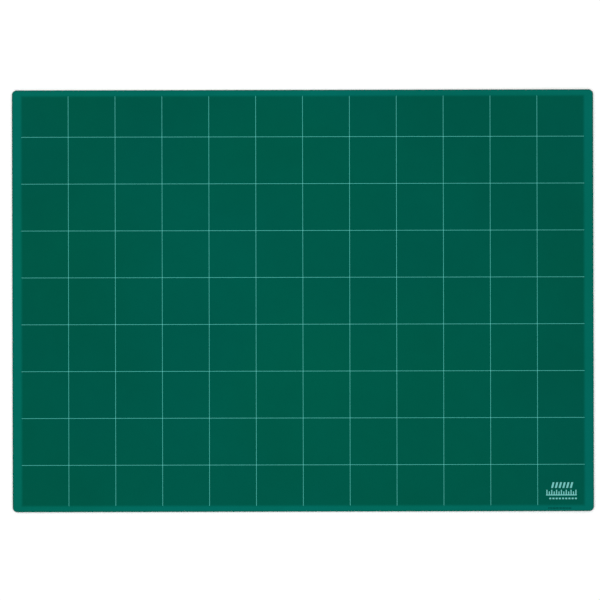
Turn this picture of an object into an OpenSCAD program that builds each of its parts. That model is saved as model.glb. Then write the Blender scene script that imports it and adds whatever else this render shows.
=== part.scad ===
// Self-healing cutting mat.
// A flat sheet laminated from five plies: a soft self-healing skin on each
// side, a rigid core in the middle, and a thin tie ply between core and skin.
// The upper skin carries a printed work field, a measuring grid, a small mark
// in one corner and a fine imprint in the margin below that mark.
// Millimetres. +X runs along the long side, +Y along the short side and +Z up
// through the sheet. The origin is the centre of the underside.

/* [Sheet] */
// Length of the mat along X
mat_l = 620; // [300:10:1200]
// Width of the mat along Y
mat_w = 450; // [220:10:900]
// Radius of the four rounded outer corners
corner_r = 5; // [2:0.5:12]

/* [Laminate] */
// Thickness of each soft self-healing skin
skin_t = 0.55; // [0.4:0.05:1.2]
// Thickness of each tie ply between a skin and the core
tie_t = 0.1; // [0.05:0.05:0.3]
// Thickness of the rigid core ply
core_t = 0.7; // [0.3:0.05:1.5]

/* [Printed work field] */
// Bare margin between the left and right edges and the printed field
margin_x = 10; // [6:0.5:30]
// Bare margin between the front and back edges and the printed field
margin_y = 6.5; // [6:0.5:30]
// Corner radius of the printed field
field_r = 2; // [1:0.5:10]
// Depth of the field's print layer
field_t = 0.08; // [0.06:0.01:0.15]

/* [Measuring grid] */
// Distance between neighbouring grid lines
grid_pitch = 50; // [10:5:100]
// Width of a grid line
line_w = 0.4; // [0.2:0.05:1.5]
// Depth of the ink in the grid, the mark and the imprint
ink_t = 0.05; // [0.02:0.005:0.05]

/* [Corner mark] */
// Gap between the mark and the right edge of the field
mark_inset_x = 8.3; // [4:0.1:12]
// Gap between the mark and the front edge of the field
mark_inset_y = 6.3; // [4:0.1:12]
// Length of the mark's middle and longest row
mark_l = 32.8; // [24:0.2:34]
// Number of ticks on the small ruler in the mark's middle row
mark_ticks = 13; // [5:2:15]
// Number of slanted bars in the mark's top row
mark_bars = 6; // [3:1:8]
// Number of dashes in the mark's bottom row
mark_dashes = 9; // [4:1:14]

/* [Margin imprint] */
// Length of the fine row of ticks in the front margin
imprint_l = 24.4; // [10:0.2:26]
// Height of each tick
imprint_h = 1.6; // [0.8:0.1:3]
// Number of ticks in the row
imprint_ticks = 16; // [4:1:24]

/* [Hidden] */
// Curve resolution for drawing; the arcs themselves stay true circles
$fn = 96;
// Extra height that lets a cutter leave through the surface
over = 1;
// Full thickness of the laminate
mat_t = 2 * skin_t + 2 * tie_t + core_t;
// Heights of the ply boundaries above the underside
z_tie_low = skin_t;
z_core = z_tie_low + tie_t;
z_tie_up = z_core + core_t;
z_skin_up = z_tie_up + tie_t;
// Size of the printed work field
field_l = mat_l - 2 * margin_x;
field_w = mat_w - 2 * margin_y;
// Upright lines: the middle one is on the mat's centre, and none on the edge
n_up = ceil(field_l / 2 / grid_pitch) - 1;
x_lines = [for (i = [-n_up : n_up]) i * grid_pitch];
// Cross lines: the centre of the mat is midway between two of them
n_cross = ceil(field_w / 2 / grid_pitch - 0.5);
y_lines = [for (i = [0 : n_cross - 1], s = [-1, 1]) s * (i + 0.5) * grid_pitch];
// Right and front limits of the corner mark
mark_x1 = field_l / 2 - mark_inset_x;
mark_y0 = -field_w / 2 + mark_inset_y;
// Heights of the mark's three rows, counted from the front
dash_h = 1.6;
ruler_h = 6;
bar_h = 6;
// Where the ruler and the bars start, above the front of the mark
ruler_y = 4;
bars_y = 12;
// Base bar of the small ruler, how far its ends stand out past the ticks, and
// how high the short ticks reach
ruler_base = 1;
ruler_end = 0.4;
short_tick_h = 4.2;
// Share of its step that each slanted bar, tick or dash fills
bar_fill = 0.5;
tick_fill = 0.43;
dash_fill = 0.62;
// Slope of the slanted bars, as run over rise
bar_slope = 0.27;
// Full height of the mark, and the clear band that lines keep around it
mark_h = bars_y + bar_h;
mark_clear = 1.5;

// ---------- plain shapes ----------

// Rectangle with true round corners, centred on the origin
module rounded_rect(l, w, r) {
    square([l - 2 * r, w], center = true);
    square([l, w - 2 * r], center = true);
    for (sx = [-1, 1], sy = [-1, 1])
        translate([sx * (l / 2 - r), sy * (w / 2 - r)]) circle(r = r);
}

// One full ply of the laminate, t thick
module ply(t) {
    linear_extrude(height = t) rounded_rect(mat_l, mat_w, corner_r);
}

// Row of n equal bars that fills length l, each leaning forward by lean
module bar_row(l, h, n, fill, lean = 0) {
    step = (l - lean) / (n - 1 + fill);
    for (i = [0 : n - 1])
        translate([i * step, 0])
            polygon([[0, 0], [step * fill, 0],
                     [step * fill + lean, h], [lean, h]]);
}

// Small ruler: a base bar with n ticks, long and short by turns
module small_ruler(l, n) {
    step = (l - 2 * ruler_end) / (n - 1 + tick_fill);
    square([l, ruler_base]);
    for (i = [0 : n - 1])
        translate([ruler_end + i * step, 0])
            square([step * tick_fill, (i % 2 == 0) ? ruler_h : short_tick_h]);
}

// ---------- print outlines ----------

// All grid lines, trimmed to the work field and kept clear of the mark
module grid_lines() {
    difference() {
        union() {
            for (x = x_lines)
                translate([x - line_w / 2, -field_w / 2])
                    square([line_w, field_w]);
            for (y = y_lines)
                translate([-field_l / 2, y - line_w / 2])
                    square([field_l, line_w]);
        }
        translate([mark_x1 - mark_l - mark_clear, mark_y0 - mark_clear])
            square([mark_l + 2 * mark_clear, mark_h + 2 * mark_clear]);
    }
}

// Generic mark: dashes at the front, a small ruler, slanted bars at the back
module mark_outline() {
    translate([mark_x1 - mark_l, mark_y0]) {
        translate([mark_l * 0.105, 0])
            bar_row(mark_l * 0.895, dash_h, mark_dashes, dash_fill);
        translate([0, ruler_y])
            small_ruler(mark_l, mark_ticks);
        translate([mark_l * 0.165, bars_y])
            bar_row(mark_l * 0.72, bar_h, mark_bars, bar_fill, bar_h * bar_slope);
    }
}

// Fine ticks in the bare margin in front of the mark
module imprint_outline() {
    translate([mark_x1 - mark_l + 2.4, -mat_w / 2 + 2.5])
        bar_row(imprint_l, imprint_h, imprint_ticks, 0.6);
}

// ---------- sub-parts ----------

// Soft skin on the underside
module bottom_skin() {
    color([0.01, 0.38, 0.33]) ply(skin_t);
}

// Tie ply between the lower skin and the core
module lower_tie_ply() {
    color([0.25, 0.44, 0.40]) translate([0, 0, z_tie_low]) ply(tie_t);
}

// Stiff ply that keeps the mat flat and stops the blade
module rigid_core() {
    color([0.53, 0.60, 0.56]) translate([0, 0, z_core]) ply(core_t);
}

// Tie ply between the core and the upper skin
module upper_tie_ply() {
    color([0.25, 0.44, 0.40]) translate([0, 0, z_tie_up]) ply(tie_t);
}

// Soft skin on the working side, sunk for the work field and the imprint
module top_skin() {
    color([0.01, 0.41, 0.35])
    difference() {
        translate([0, 0, z_skin_up]) ply(skin_t);
        translate([0, 0, mat_t - field_t])
            linear_extrude(height = field_t + over)
                rounded_rect(field_l, field_w, field_r);
        translate([0, 0, mat_t - ink_t])
            linear_extrude(height = ink_t + over) imprint_outline();
    }
}

// Dark print layer of the work field, grooved for the lines and the mark
module work_field_print() {
    color([0.0, 0.35, 0.29])
    difference() {
        translate([0, 0, mat_t - field_t])
            linear_extrude(height = field_t)
                rounded_rect(field_l, field_w, field_r);
        translate([0, 0, mat_t - ink_t])
            linear_extrude(height = ink_t + over) {
                grid_lines();
                mark_outline();
            }
    }
}

// Pale ink of the measuring grid, one connected net of lines
module grid_line_print() {
    color([0.58, 0.84, 0.83])
    translate([0, 0, mat_t - ink_t])
        linear_extrude(height = ink_t) grid_lines();
}

// Pale ink of the corner mark, one solid per bar, ruler and dash
module corner_mark_print() {
    color([0.58, 0.84, 0.83])
    translate([0, 0, mat_t - ink_t])
        linear_extrude(height = ink_t) mark_outline();
}

// Dark ink of the ticks in the margin
module margin_imprint() {
    color([0.0, 0.33, 0.28])
    translate([0, 0, mat_t - ink_t])
        linear_extrude(height = ink_t) imprint_outline();
}

bottom_skin();
lower_tie_ply();
rigid_core();
upper_tie_ply();
top_skin();
work_field_print();
grid_line_print();
corner_mark_print();
margin_imprint();
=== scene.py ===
import math

import bpy
import numpy as np
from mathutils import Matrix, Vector
from mathutils.geometry import delaunay_2d_cdt

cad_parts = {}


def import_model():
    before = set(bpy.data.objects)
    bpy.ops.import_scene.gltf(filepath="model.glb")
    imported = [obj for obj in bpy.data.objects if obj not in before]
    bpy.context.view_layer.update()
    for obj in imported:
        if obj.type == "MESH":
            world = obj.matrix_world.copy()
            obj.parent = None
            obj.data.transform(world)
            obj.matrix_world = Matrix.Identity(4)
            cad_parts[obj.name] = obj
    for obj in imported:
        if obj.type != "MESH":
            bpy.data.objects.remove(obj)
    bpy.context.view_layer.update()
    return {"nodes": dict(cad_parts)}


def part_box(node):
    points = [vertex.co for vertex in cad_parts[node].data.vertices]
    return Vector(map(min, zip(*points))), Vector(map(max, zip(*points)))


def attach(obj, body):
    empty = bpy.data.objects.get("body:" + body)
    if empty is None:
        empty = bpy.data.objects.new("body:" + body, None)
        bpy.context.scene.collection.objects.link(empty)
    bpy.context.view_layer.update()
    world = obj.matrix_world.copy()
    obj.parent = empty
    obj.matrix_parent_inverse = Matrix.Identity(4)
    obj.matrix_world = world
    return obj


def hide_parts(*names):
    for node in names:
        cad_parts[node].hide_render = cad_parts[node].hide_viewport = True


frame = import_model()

# Self-healing cutting mat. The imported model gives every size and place; the pieces built here stand for the CAD nodes
# with true round corners, rolled skin edges, a die-cut laminate edge and crowned ink. Work is in millimetres, and the
# meshes are written in metres.

MM = 0.001
ARC = 18  # segments in each round corner


def mm_box(node):
    lo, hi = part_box(node)
    return np.array(lo) * 1000.0, np.array(hi) * 1000.0


TOP_LO, TOP_HI = mm_box("top_skin")
FIELD_LO, FIELD_HI = mm_box("work_field_print")
GRID_LO, GRID_HI = mm_box("grid_line_print")
HALF_L, HALF_W = float(TOP_HI[0]), float(TOP_HI[1])
FIELD_L, FIELD_W = float(FIELD_HI[0]), float(FIELD_HI[1])
TOP_Z = float(TOP_HI[2])


# ---------- outlines read from the CAD meshes ----------


def top_loops(node):
    """Closed outlines of a CAD node's top faces, in mm, each running anticlockwise."""
    me = frame["nodes"][node].data
    top = max(v.co.z for v in me.vertices)
    key = lambda i: tuple(round(c * 1e6) for c in me.vertices[i].co[:2])
    heads = {}
    pairs = set()
    for f in me.polygons:
        if all(me.vertices[i].co.z > top - 2e-6 for i in f.vertices) and f.normal.z > 0.5:
            ids = [key(i) for i in f.vertices]
            for a, b in zip(ids, ids[1:] + ids[:1]):
                pairs.add((a, b))
    for a, b in pairs:
        if (b, a) not in pairs:
            heads.setdefault(a, []).append(b)
    loops = []
    while heads:
        start = min(heads)
        loop, at = [start], heads[start].pop()
        if not heads[start]:
            del heads[start]
        while at != start:
            loop.append(at)
            following = heads[at].pop()
            if not heads[at]:
                del heads[at]
            at = following
        loops.append(np.array(loop, float) / 1000.0)
    return loops


def straightened(loop):
    """The loop without points that lie on a straight run."""
    kept = []
    n = len(loop)
    for i in range(n):
        a, b, c = loop[i - 1], loop[i], loop[(i + 1) % n]
        if abs(np.cross(b - a, c - b)) > 1e-4 * np.linalg.norm(b - a) * np.linalg.norm(c - b):
            kept.append(b)
    return np.array(kept)


def softened(loop, r, n=3):
    """The loop with each corner turned into a small arc of about radius r, as ink that has flowed a little."""
    loop = straightened(loop)
    out = []
    m = len(loop)
    for i in range(m):
        a, b, c = loop[i - 1], loop[i], loop[(i + 1) % m]
        u, v = (a - b), (c - b)
        lu, lv = np.linalg.norm(u), np.linalg.norm(v)
        u, v = u / lu, v / lv
        half = math.acos(float(np.clip(u @ v, -1, 1))) / 2
        cut = min(r / math.tan(half), lu * 0.42, lv * 0.42)
        rr = cut * math.tan(half)
        centre = b + (u + v) / np.linalg.norm(u + v) * (rr / math.sin(half))
        p, q = b + u * cut - centre, b + v * cut - centre
        a0 = math.atan2(p[1], p[0])
        turn = (math.atan2(q[1], q[0]) - a0 + math.pi) % (2 * math.pi) - math.pi
        for k in range(n + 1):
            t = a0 + turn * k / n
            out.append(centre + rr * np.array([math.cos(t), math.sin(t)]))
    return np.array(out)


def corner_radius(node, half_l, half_w):
    """Corner radius of a CAD plate, in mm: where its straight front edge ends."""
    me = frame["nodes"][node].data
    xs = [v.co.x * 1000 for v in me.vertices if abs(v.co.y * 1000 + half_w) < 1e-3]
    return half_l - max(xs)


MAT_R = corner_radius("top_skin", HALF_L, HALF_W)
FIELD_R = corner_radius("work_field_print", FIELD_L, FIELD_W)


def rounded(half_l, half_w, r, n=ARC):
    """Anticlockwise outline of a rectangle with round corners."""
    out = []
    for sx, sy, a0 in ((1, -1, -90), (1, 1, 0), (-1, 1, 90), (-1, -1, 180)):
        for k in range(n + 1):
            t = math.radians(a0 + 90 * k / n)
            out.append((sx * (half_l - r) + r * math.cos(t), sy * (half_w - r) + r * math.sin(t)))
    return np.array(out)


def line_pairs(axis):
    """Low and high edge of each grid line that crosses axis (0: uprights, 1: cross lines), from the CAD net's ends."""
    me = frame["nodes"]["grid_line_print"].data
    other = 1 - axis
    end = GRID_HI[other]
    at = sorted({round(v.co[axis] * 1000, 3) for v in me.vertices if abs(v.co[other] * 1000 - end) < 1e-3})
    return list(zip(at[0::2], at[1::2]))


UPRIGHTS, CROSSES = line_pairs(0), line_pairs(1)
MIDDLES = [np.array([(a + b) / 2 for a, b in pairs]) for pairs in (UPRIGHTS, CROSSES)]
PITCH = float(MIDDLES[0][1] - MIDDLES[0][0])


# ---------- solids from flat outlines ----------


def triangulate(outlines, seams=(), points=()):
    """One triangulation that holds every outline. Gives its points, its triangles and the outlines that each lies in."""
    verts, faces, edges = [], [], []
    for loop in outlines:
        faces.append(list(range(len(verts), len(verts) + len(loop))))
        verts += [Vector((float(p[0]), float(p[1]))) for p in loop]
    for a, b in seams:
        edges.append((len(verts), len(verts) + 1))
        verts += [Vector((float(a[0]), float(a[1]))), Vector((float(b[0]), float(b[1])))]
    verts += [Vector((float(p[0]), float(p[1]))) for p in points]
    co, _, tris, _, _, inside = delaunay_2d_cdt(verts, edges, faces, 1, 1e-4)
    co = np.array([(v.x, v.y) for v in co])
    good, sets = [], []
    for t, s in zip(tris, inside):
        a, b, c = (co[i] for i in t)
        area = np.cross(b - a, c - a)
        if abs(area) < 1e-9:
            continue
        good.append(tuple(t) if area > 0 else tuple(reversed(t)))
        sets.append(frozenset(s))
    return co, good, sets


def relief(co, tris, level, heights, bottom, rim=None, lift=None):
    """A closed solid over the triangles whose level isn't None. heights gives each level's z and bottom is the underside's z.
    rim is a list of (inset, z) steps down the outer wall, from the top outline to the bottom one; half sizes come from the
    outline itself. lift(point, level) moves a top point's z. Returns vertices and faces, in mm."""
    verts, index, faces = [], {}, []

    def at(name, p, z):
        if name not in index:
            index[name] = len(verts)
            verts.append((float(p[0]), float(p[1]), float(z)))
        return index[name]

    used = {}
    for t, l in zip(tris, level):
        if l is not None:
            for i in t:
                used.setdefault(i, set()).add(l)
    order = {l: k for k, l in enumerate(sorted(heights, key=heights.get))}

    def top(i, l):
        z = heights[l] + (lift(co[i], l) if lift else 0.0)
        return at((i, l), co[i], z)

    first, last = (rim[0], rim[-1]) if rim else ((0, None), (0, bottom))

    def outward(i):
        if not rim:
            return np.zeros(2)
        core = np.array([HALF_L - MAT_R, HALF_W - MAT_R])
        d = co[i] - np.clip(co[i], -core, core)
        return d / max(np.linalg.norm(d), 1e-9)

    edge_of = {}
    for k, (t, l) in enumerate(zip(tris, level)):
        if l is not None:
            for a, b in zip(t, t[1:] + t[:1]):
                edge_of[(a, b)] = l
    boundary = {i for (a, b) in edge_of if (b, a) not in edge_of for i in (a, b)}

    def low(i):
        p = co[i] + outward(i) * (first[0] - last[0]) if i in boundary else co[i]
        return at((i, "low"), p, last[1] if rim else bottom)

    for t, l in zip(tris, level):
        if l is not None:
            faces.append([top(i, l) for i in t])
            faces.append([low(i) for i in reversed(t)])

    def between(i, l, under):
        """Points at i on levels strictly between under and l, lowest first."""
        floor = -1 if under is None else order[under]
        return [top(i, m) for m in sorted(used[i], key=order.get) if floor < order[m] < order[l]]

    for (a, b), l in edge_of.items():
        other = edge_of.get((b, a))
        if other is None:
            if rim:
                rows = [[top(i, l) for i in (a, b)]]
                for s, (inset, z) in enumerate(rim[1:-1]):
                    rows.append([at((i, "rim", s), co[i] + outward(i) * (first[0] - inset), z) for i in (a, b)])
                rows.append([low(a), low(b)])
                for (a0, b0), (a1, b1) in zip(rows, rows[1:]):
                    faces.append([a1, b1, b0, a0])
            else:
                faces.append([low(a), low(b)] + between(b, l, None) + [top(b, l), top(a, l)] + between(a, l, None)[::-1])
        elif order[other] < order[l]:
            faces.append([top(a, other), top(b, other)] + between(b, l, other) + [top(b, l), top(a, l)] + between(a, l, other)[::-1])
    return np.array(verts), faces


def to_object(name, verts, faces, material, node, crease=35.0, face_up=None):
    """Makes the piece, rides it on the root body and lets it stand for its CAD node. face_up (1 or -1) lays out the bake's
    UV map so that the large face on that side fills it, and the rest gets a narrow strip."""
    me = bpy.data.meshes.new(name)
    me.from_pydata((np.asarray(verts) * MM).tolist(), [], faces)
    me.update()
    ob = bpy.data.objects.new(name, me)
    bpy.context.scene.collection.objects.link(ob)
    me.materials.append(material)
    me.shade_smooth()
    me.set_sharp_from_angle(angle=math.radians(crease))
    if face_up is not None:
        uv = me.uv_layers.new(name="OFBake")
        span = 2 * (HALF_L + HALF_W)
        data = np.zeros((len(me.loops), 2), np.float32)
        zs = np.array([v.co.z for v in me.vertices])
        z0, z1 = zs.min(), zs.max()
        for f in me.polygons:
            nz = f.normal.z * face_up
            for li in f.loop_indices:
                c = me.vertices[me.loops[li].vertex_index].co
                u, v = (c.x / MM + HALF_L) / (2 * HALF_L), (c.y / MM + HALF_W) / (2 * HALF_W)
                if nz > 0.5:
                    data[li] = (0.001 + 0.998 * u, 0.055 + 0.944 * v)
                elif nz < -0.5:
                    data[li] = (0.001 + 0.998 * u, 0.001 + 0.016 * v)
                else:  # along the edge: one strip per side of the sheet
                    h = (c.z - z0) / max(z1 - z0, 1e-9)
                    side = abs(f.normal.x) > abs(f.normal.y)
                    along = v if side else u
                    row = (0 if f.normal.x < 0 else 1) if side else (2 if f.normal.y < 0 else 3)
                    data[li] = (0.001 + 0.998 * along, 0.019 + 0.0085 * row + 0.0065 * h)
        uv.data.foreach_set("uv", data.ravel())
    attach(ob, "root")
    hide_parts(node)
    return ob


# ---------- materials ----------


class Tree:
    """Short calls for building one material's nodes."""

    def __init__(self, name):
        self.mat = bpy.data.materials.new(name)
        self.mat.use_nodes = True
        self.nt = self.mat.node_tree
        self.nt.nodes.clear()
        self.out = self.nt.nodes.new("ShaderNodeOutputMaterial")
        self.bsdf = self.nt.nodes.new("ShaderNodeBsdfPrincipled")
        self.nt.links.new(self.bsdf.outputs[0], self.out.inputs["Surface"])
        self.coords = self.nt.nodes.new("ShaderNodeTexCoord").outputs["Object"]
        split = self.nt.nodes.new("ShaderNodeSeparateXYZ")
        self.nt.links.new(self.coords, split.inputs[0])
        self.x, self.y, self.z = split.outputs

    def put(self, socket, value):
        if isinstance(value, bpy.types.NodeSocket):
            self.nt.links.new(value, socket)
        else:
            socket.default_value = value

    def math(self, op, a, b=None, c=None, clamp=False):
        n = self.nt.nodes.new("ShaderNodeMath")
        n.operation, n.use_clamp = op, clamp
        for s, v in zip(n.inputs, (a, b, c)):
            if v is not None:
                self.put(s, v)
        return n.outputs[0]

    def ramp(self, value, lo, hi, a=0.0, b=1.0, smooth=True):
        """value from lo to hi becomes a to b, held outside."""
        n = self.nt.nodes.new("ShaderNodeMapRange")
        n.interpolation_type = "SMOOTHSTEP" if smooth else "LINEAR"
        n.clamp = True
        for s, v in zip(n.inputs, (value, lo, hi, a, b)):
            self.put(s, v)
        return n.outputs[0]

    def noise(self, scale, detail=2.0, rough=0.5, squeeze=(1, 1, 1), shift=(0, 0, 0), kind="FBM"):
        m = self.nt.nodes.new("ShaderNodeMapping")
        m.inputs["Scale"].default_value = squeeze
        m.inputs["Location"].default_value = shift
        self.nt.links.new(self.coords, m.inputs["Vector"])
        n = self.nt.nodes.new("ShaderNodeTexNoise")
        n.noise_type = kind
        n.inputs["Scale"].default_value = scale
        n.inputs["Detail"].default_value = detail
        n.inputs["Roughness"].default_value = rough
        self.nt.links.new(m.outputs[0], n.inputs["Vector"])
        return n.outputs["Fac"]

    def pebble(self, scale, shift=(0, 0, 0)):
        """Smooth rounded cells, as an embossed plastic skin has."""
        m = self.nt.nodes.new("ShaderNodeMapping")
        m.inputs["Location"].default_value = shift
        self.nt.links.new(self.coords, m.inputs["Vector"])
        n = self.nt.nodes.new("ShaderNodeTexVoronoi")
        n.feature = "SMOOTH_F1"
        n.inputs["Scale"].default_value = scale
        n.inputs["Smoothness"].default_value = 0.6
        self.nt.links.new(m.outputs[0], n.inputs["Vector"])
        return n.outputs["Distance"]

    def mix(self, fac, a, b, blend="MIX"):
        n = self.nt.nodes.new("ShaderNodeMix")
        n.data_type, n.blend_type = "RGBA", blend
        self.put(n.inputs["Factor"], fac)
        self.put(n.inputs["A"], a)
        self.put(n.inputs["B"], b)
        return n.outputs["Result"]

    def scaled(self, colour, value):
        """colour times value, a number socket."""
        n = self.nt.nodes.new("ShaderNodeVectorMath")
        n.operation = "SCALE"
        self.put(n.inputs[0], colour if isinstance(colour, bpy.types.NodeSocket) else colour[:3])
        self.put(n.inputs["Scale"], value)
        return n.outputs[0]

    def bump(self, height, distance, strength=1.0, after=None):
        n = self.nt.nodes.new("ShaderNodeBump")
        n.inputs["Distance"].default_value = distance
        n.inputs["Strength"].default_value = strength
        self.put(n.inputs["Height"], height)
        if after is not None:
            self.nt.links.new(after, n.inputs["Normal"])
        return n.outputs["Normal"]

    def finish(self, colour, rough, normal=None, spec=0.4, tint=(1, 1, 1), sheen=0.0):
        self.put(self.bsdf.inputs["Base Color"], colour)
        self.put(self.bsdf.inputs["Roughness"], rough)
        if normal is not None:
            self.nt.links.new(normal, self.bsdf.inputs["Normal"])
        self.bsdf.inputs["Specular IOR Level"].default_value = spec
        self.bsdf.inputs["Specular Tint"].default_value = (*tint, 1)
        self.bsdf.inputs["Sheen Weight"].default_value = sheen
        self.bsdf.inputs["Sheen Roughness"].default_value = 0.4
        return self.mat


def rgb(r, g, b):
    return (r, g, b, 1.0)


FIELD_GREEN = rgb(0.0000, 0.0830, 0.0520)
MARGIN_TEAL = rgb(0.0005, 0.1230, 0.0910)
# painted shade: the darker green laid along the rolled outer edge of the top skin
EDGE_SHADE_GREEN = rgb(0.0006, 0.0900, 0.0640)
UNDER_GREEN = rgb(0.0010, 0.0900, 0.0630)
TINT = (0.0, 0.80, 0.70)


def vinyl(name):
    """Soft PVC skin of the working side, bare or under the field's print. Both share one map from margin to field colour,
    because the print's edge feathers out over a few millimetres."""
    t = Tree(name)
    fx = t.math("SUBTRACT", t.math("ABSOLUTE", t.x), FIELD_L * MM)
    fy = t.math("SUBTRACT", t.math("ABSOLUTE", t.y), FIELD_W * MM)
    over = t.math("SMOOTH_MAX", fx, fy, 0.002)
    margin = t.ramp(over, -0.0018, 0.0020)
    colour = t.mix(margin, FIELD_GREEN, MARGIN_TEAL)
    # painted shade: the colour turns a darker green over the last 2 mm towards the rolled outer edge, standing in for
    # the shade on that edge
    ex = t.math("SUBTRACT", HALF_L * MM, t.math("ABSOLUTE", t.x))
    ey = t.math("SUBTRACT", HALF_W * MM, t.math("ABSOLUTE", t.y))
    rim = t.ramp(t.math("MINIMUM", ex, ey), 0.0002, 0.0020, 1.0, 0.0)
    colour = t.mix(rim, colour, EDGE_SHADE_GREEN)
    # cloudiness of calendered vinyl: broad, middle and fine
    broad = t.ramp(t.noise(7.0, 2.0, 0.5), 0.25, 0.75, 0.965, 1.035)
    middle = t.ramp(t.noise(55.0, 3.0, 0.6, shift=(3, 1, 0)), 0.25, 0.75, 0.985, 1.015)
    fine = t.ramp(t.noise(900.0, 2.0, 0.6), 0.2, 0.8, 0.975, 1.025, smooth=False)
    value = t.math("MULTIPLY", t.math("MULTIPLY", broad, middle), fine)
    colour = t.scaled(colour, value)
    drift = t.ramp(t.noise(5.0, 2.0, 0.5, shift=(1, 8, 3)), 0.3, 0.7, 0.0, 1.0)
    colour = t.mix(1.0, colour, t.mix(drift, rgb(1.0, 1.005, 0.95), rgb(1.0, 0.995, 1.05)), "MULTIPLY")
    # a few pale specks of filler
    specks = t.ramp(t.noise(1500.0, 1.0, 0.5, shift=(0, 7, 0)), 0.74, 0.80, 0.0, 0.10)
    colour = t.mix(specks, colour, rgb(0.02, 0.22, 0.18))
    rough = t.math(
        "ADD",
        t.ramp(t.noise(38.0, 3.0, 0.55, shift=(0, 4, 2)), 0.3, 0.7, -0.025, 0.025),
        t.ramp(margin, 0.0, 1.0, 0.40, 0.45, smooth=False),
    )
    waves = t.bump(t.noise(9.0, 1.0, 0.4, shift=(5, 0, 0)), 0.0010, 0.5)
    grain = t.bump(t.pebble(2200.0), 0.00006, 0.6, after=waves)
    dust = t.bump(t.noise(5200.0, 2.0, 0.6), 0.00002, 0.6, after=grain)
    return t.finish(colour, rough, dust, spec=0.42, tint=TINT)


def underside_vinyl():
    """Bare skin of the underside, with a coarser anti-slip emboss."""
    t = Tree("underside_vinyl")
    broad = t.ramp(t.noise(9.0, 3.0, 0.55, shift=(2, 2, 2)), 0.25, 0.75, 0.93, 1.07)
    fine = t.ramp(t.noise(800.0, 2.0, 0.6), 0.2, 0.8, 0.96, 1.04, smooth=False)
    colour = t.scaled(UNDER_GREEN, t.math("MULTIPLY", broad, fine))
    rough = t.ramp(t.noise(45.0, 3.0, 0.6), 0.3, 0.7, 0.56, 0.64)
    grain = t.bump(t.pebble(1100.0), 0.00012, 0.7)
    return t.finish(colour, rough, grain, spec=0.4, tint=TINT)


def cut_ply(name, colour, deep, rough=0.6, spec=0.4):
    """A ply that shows only at the die-cut edge: fine upright drag marks and a slightly uneven colour."""
    t = Tree(name)
    cloud = t.ramp(t.noise(30.0, 3.0, 0.6), 0.25, 0.75, 0.0, 1.0)
    base = t.mix(cloud, colour, deep)
    drag = t.noise(1400.0, 2.0, 0.5, squeeze=(1, 1, 0.03))
    base = t.scaled(base, t.ramp(drag, 0.25, 0.75, 0.90, 1.08))
    normal = t.bump(drag, 0.00005, 0.8)
    return t.finish(base, rough, normal, spec=spec)


def ink(name, colour, thin, tint, twice=None, rough=0.42, spec=0.4):
    """Screen-printed ink: a little thinner here and there, so that the ground shows through. twice is its colour where
    two lines cross and it lies double."""
    t = Tree(name)
    patch = t.ramp(t.noise(420.0, 3.0, 0.65), 0.30, 0.72, 0.0, 1.0)
    base = t.mix(t.math("MULTIPLY", patch, 0.30), colour, thin)
    if twice:
        near = [t.math("PINGPONG", t.math("SUBTRACT", c, float(m[0]) * MM), PITCH / 2 * MM) for c, m in ((t.x, MIDDLES[0]), (t.y, MIDDLES[1]))]
        base = t.mix(t.ramp(t.math("MAXIMUM", *near), 0.00018, 0.00026, 1.0, 0.0), base, twice)
    mesh_marks = t.ramp(t.noise(4500.0, 1.0, 0.5), 0.25, 0.75, 0.95, 1.04)
    base = t.scaled(base, mesh_marks)
    normal = t.bump(t.noise(3200.0, 2.0, 0.6), 0.00002, 0.8)
    r = t.ramp(patch, 0.0, 1.0, rough - 0.04, rough + 0.06, smooth=False)
    return t.finish(base, r, normal, spec=spec, tint=tint)


M_SKIN = vinyl("vinyl_margin")
M_FIELD = vinyl("vinyl_work_field")
M_UNDER = underside_vinyl()
M_CORE = cut_ply("rigid_core_cut", rgb(0.24, 0.32, 0.27), rgb(0.18, 0.26, 0.22), 0.55)
M_TIE = cut_ply("tie_ply_cut", rgb(0.05, 0.16, 0.13), rgb(0.03, 0.12, 0.10), 0.5)
PALE_TINT = (0.5, 1.0, 0.97)
M_LINE = ink("grid_line_ink", rgb(0.080, 0.50, 0.44), rgb(0.028, 0.35, 0.31), PALE_TINT, twice=rgb(0.27, 0.80, 0.72))
M_MARK = ink("corner_mark_ink", rgb(0.17, 0.52, 0.49), rgb(0.09, 0.42, 0.39), PALE_TINT)
M_DARK = ink("margin_imprint_ink", rgb(0.0001, 0.050, 0.036), rgb(0.0002, 0.080, 0.057), TINT)


# ---------- the laminate ----------


def raster(half_l, half_w, step):
    """Inner points on a regular net, so that the flats get even triangles."""
    nx, ny = int(2 * half_l // step), int(2 * half_w // step)
    xs = np.linspace(-half_l, half_l, nx + 1)
    ys = np.linspace(-half_w, half_w, ny + 1)
    return [(x, y) for x in xs for y in ys]


def plate(name, node, material, rim_top, rim_low, face_up=1, set_back=0.0, step=30.0):
    """A full ply. rim_top and rim_low are (inset, drop) steps of its upper and lower edge; set_back draws the wall in."""
    lo, hi = mm_box(node)
    z0, z1 = float(lo[2]), float(hi[2])
    rim = [(i + set_back, z1 - d) for i, d in rim_top] + [(i + set_back, z0 + d) for i, d in reversed(rim_low)]
    first = rim[0][0]
    outline = rounded(HALF_L - first, HALF_W - first, MAT_R - first)
    co, tris, sets = triangulate([outline], points=raster(HALF_L - MAT_R - 4, HALF_W - MAT_R - 4, step))
    verts, faces = relief(co, tris, ["top"] * len(tris), {"top": z1}, z0, rim=rim)
    return to_object(name, verts, faces, material, node, face_up=face_up)


def roll(r, n=5):
    """Steps of a rolled edge of radius r: (inset, drop)."""
    return [(r * (1 - math.sin(math.radians(90 * k / n))), r * (1 - math.cos(math.radians(90 * k / n)))) for k in range(n + 1)]


SQUARE = [(0.0, 0.0)]
NICK = [(0.012, 0.0), (0.0, 0.012)]

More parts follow.
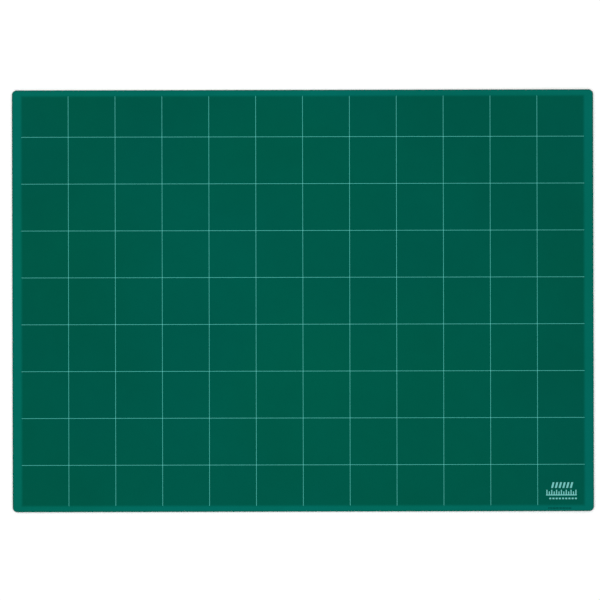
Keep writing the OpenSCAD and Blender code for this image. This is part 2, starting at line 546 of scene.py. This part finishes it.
plate("bottom_skin_sheet", "bottom_skin", M_UNDER, NICK, roll(0.22), face_up=-1)
plate("lower_tie_sheet", "lower_tie_ply", M_TIE, SQUARE, SQUARE, set_back=0.02, step=60.0)
plate("rigid_core_sheet", "rigid_core", M_CORE, NICK, NICK, set_back=0.04, step=60.0)
plate("upper_tie_sheet", "upper_tie_ply", M_TIE, SQUARE, SQUARE, set_back=0.02, step=60.0)

# ---------- the working side ----------

INK_Z = float(GRID_LO[2])  # floor of the grooves that hold the ink
FILM_Z = float(FIELD_LO[2])  # floor of the skin's pocket, where the field's print lies
SKIN_Z = TOP_Z - 0.012
PRINT_Z = TOP_Z - 0.008
ROLL = 0.32

field_loop = rounded(FIELD_L, FIELD_W, FIELD_R, 8)
ticks = [softened(l, 0.12) for l in top_loops("margin_imprint")]
marks = [softened(l, 0.16) for l in top_loops("corner_mark_print")]

# upper skin: rolled outer edge, a pocket for the field's print and small ones for the imprint
skin_loop = rounded(HALF_L - ROLL, HALF_W - ROLL, MAT_R - ROLL)
co, tris, sets = triangulate(
    [skin_loop, field_loop] + ticks, points=raster(FIELD_L - 12, FIELD_W - 12, 30.0)
)
z_low = float(TOP_LO[2])
level = ["pocket" if 1 in s else "tick" if any(k > 1 for k in s) else "skin" for s in sets]
rim = [(i, SKIN_Z - d) for i, d in roll(ROLL)] + [(0.0, z_low + 0.012), (0.012, z_low)]
verts, faces = relief(co, tris, level, {"pocket": FILM_Z, "tick": INK_Z, "skin": SKIN_Z}, z_low, rim=rim)
to_object("top_skin_sheet", verts, faces, M_SKIN, "top_skin", face_up=1)

tick_level = ["ink" if l == "tick" else None for l in level]
verts, faces = relief(co, tris, tick_level, {"ink": SKIN_Z + 0.006}, INK_Z)
to_object("margin_imprint_ink", verts, faces, M_DARK, "margin_imprint")

# field print, grid and mark from one shared triangulation, so that their walls meet exactly
bars = [np.array([(a, -FIELD_W - 1), (b, -FIELD_W - 1), (b, FIELD_W + 1), (a, FIELD_W + 1)]) for a, b in UPRIGHTS]
bars += [np.array([(-FIELD_L - 1, a), (FIELD_L + 1, a), (FIELD_L + 1, b), (-FIELD_L - 1, b)]) for a, b in CROSSES]
seams = [(((a + b) / 2, -FIELD_W - 1), ((a + b) / 2, FIELD_W + 1)) for a, b in UPRIGHTS]
seams += [((-FIELD_L - 1, (a + b) / 2), (FIELD_L + 1, (a + b) / 2)) for a, b in CROSSES]
n_bars = len(bars)
co, tris, sets = triangulate([field_loop] + bars + marks, seams=seams)
is_bar = [0 in s and any(1 <= k <= n_bars for k in s) for s in sets]
is_mark = [0 in s and any(k > n_bars for k in s) for s in sets]
level = [None if 0 not in s else "groove" if b or m else "print" for s, b, m in zip(sets, is_bar, is_mark)]
verts, faces = relief(co, tris, level, {"groove": INK_Z, "print": PRINT_Z}, FILM_Z)
to_object("work_field_film", verts, faces, M_FIELD, "work_field_print", face_up=1)


def crown(p, l):
    """Ink stands a hair higher along the middle of a line."""
    near = min(np.abs(MIDDLES[0] - p[0]).min(), np.abs(MIDDLES[1] - p[1]).min())
    return 0.008 if near < 0.02 else 0.0


verts, faces = relief(co, tris, ["ink" if b else None for b in is_bar], {"ink": PRINT_Z}, INK_Z, lift=crown)
to_object("grid_line_ink", verts, faces, M_LINE, "grid_line_print", crease=60.0)
verts, faces = relief(co, tris, ["ink" if m else None for m in is_mark], {"ink": PRINT_Z + 0.006}, INK_Z)
to_object("corner_mark_ink", verts, faces, M_MARK, "corner_mark_print")


# ---------- stage ----------

DOME, FLOOR = 1.025, 0.94  # strength of the lighting dome, and the floor's albedo


def floor():
    me = bpy.data.meshes.new("floor")
    s, z = 40.0, -0.00004
    me.from_pydata([(-s, -s, z), (s, -s, z), (s, s, z), (-s, s, z)], [], [(0, 1, 2, 3)])
    ob = bpy.data.objects.new("floor", me)
    bpy.context.scene.collection.objects.link(ob)
    t = Tree("studio_floor")
    t.finish(rgb(FLOOR, FLOOR, FLOOR), 1.0, spec=0.0)
    me.materials.append(t.mat)


def world():
    """A soft white dome. Reflections see a gentler version of it, bright low down and dark overhead, as under a studio
    tent with a dark camera port above."""
    w = bpy.data.worlds.new("studio")
    bpy.context.scene.world = w
    w.use_nodes = True
    w.cycles.sampling_method = "NONE"
    nt = w.node_tree
    nt.nodes.clear()
    new = nt.nodes.new
    out, back = new("ShaderNodeOutputWorld"), new("ShaderNodeBackground")
    nt.links.new(back.outputs[0], out.inputs[0])
    path, tc, split = new("ShaderNodeLightPath"), new("ShaderNodeTexCoord"), new("ShaderNodeSeparateXYZ")
    nt.links.new(tc.outputs["Generated"], split.inputs[0])

    def ramp(value, lo, hi, a, b):
        n = new("ShaderNodeMapRange")
        n.interpolation_type = "SMOOTHSTEP"
        nt.links.new(value, n.inputs[0])
        for s, v in zip(list(n.inputs)[1:5], (lo, hi, a, b)):
            s.default_value = v
        return n.outputs[0]

    def maths(op, a, b):
        n = new("ShaderNodeMath")
        n.operation = op
        for s, v in zip(n.inputs, (a, b)):
            if isinstance(v, bpy.types.NodeSocket):
                nt.links.new(v, s)
            else:
                s.default_value = v
        return n.outputs[0]

    def choose(fac, a, b):
        n = new("ShaderNodeMix")
        n.data_type = "FLOAT"
        for s, v in ((n.inputs["Factor"], fac), (n.inputs["A"], a), (n.inputs["B"], b)):
            if isinstance(v, bpy.types.NodeSocket):
                nt.links.new(v, s)
            else:
                s.default_value = v
        return n.outputs["Result"]

    x, y, z = split.outputs
    tent = ramp(z, 0.05, 0.75, 0.27, 0.015)
    lit = choose(path.outputs["Is Glossy Ray"], DOME, tent)
    seen = choose(path.outputs["Is Camera Ray"], lit, DOME * FLOOR)  # as bright as the far floor, so no horizon shows
    nt.links.new(seen, back.inputs["Strength"])
    back.inputs["Color"].default_value = (1, 1, 1, 1)


def soft_light(name, size, energy, place, target, gloss=False):
    """A soft light that the camera doesn't see. It lights the sheet or, with gloss, only adds its sheen."""
    data = bpy.data.lights.new(name, "AREA")
    data.shape, data.size, data.size_y = "RECTANGLE", *size
    data.energy = energy
    ob = bpy.data.objects.new(name, data)
    ob.location = place
    ob.rotation_mode = "QUATERNION"
    ob.rotation_quaternion = (Vector(target) - Vector(place)).to_track_quat("-Z", "Y")
    ob.visible_glossy, ob.visible_diffuse = gloss, not gloss
    ob.visible_camera = False
    bpy.context.scene.collection.objects.link(ob)


def camera():
    """Straight down, far back with a long lens. The frame is 640 mm wide at the mat, and the mat sits a hair right of and
    below the middle, turned by an eighth of a degree."""
    lens, sensor, wide = 100.0, 36.0, 0.640
    data = bpy.data.cameras.new("camera")
    data.lens, data.sensor_width = lens, sensor
    data.clip_start, data.clip_end = 0.01, 100.0
    ob = bpy.data.objects.new("camera", data)
    ob.location = (-0.0031, 0.00085, TOP_Z * MM + wide * lens / sensor)
    ob.rotation_euler = (0.0, 0.0, -0.0022)
    bpy.context.scene.collection.objects.link(ob)
    bpy.context.scene.camera = ob


floor()
world()
soft_light("key", (1.6, 1.2), 4.0, (-1.5, 1.3, 1.7), (0, 0, 0))  # a trace of shadow and of shape
soft_light("strip", (0.2, 0.9), 0.52, (-0.03, -0.08, 0.45), (-0.03, -0.08, 0))  # a little brighter along the middle
soft_light("sheen_back", (1.1, 0.4), 1.7, (-0.85, 0.80, 0.42), (0, 0, 0), gloss=True)
soft_light("sheen_front", (1.1, 0.3), 0.25, (0.90, -0.80, 0.30), (0, 0, 0), gloss=True)
camera()
sc = bpy.context.scene
sc.view_settings.view_transform = "Standard"
sc.view_settings.look = "None"
sc.view_settings.exposure = 0.0
sc.view_settings.gamma = 1.0
sc.cycles.denoising_input_passes = "RGB_ALBEDO"  # with normals too, the sheet's edge gets a coloured fringe

bpy.context.view_layer.update()
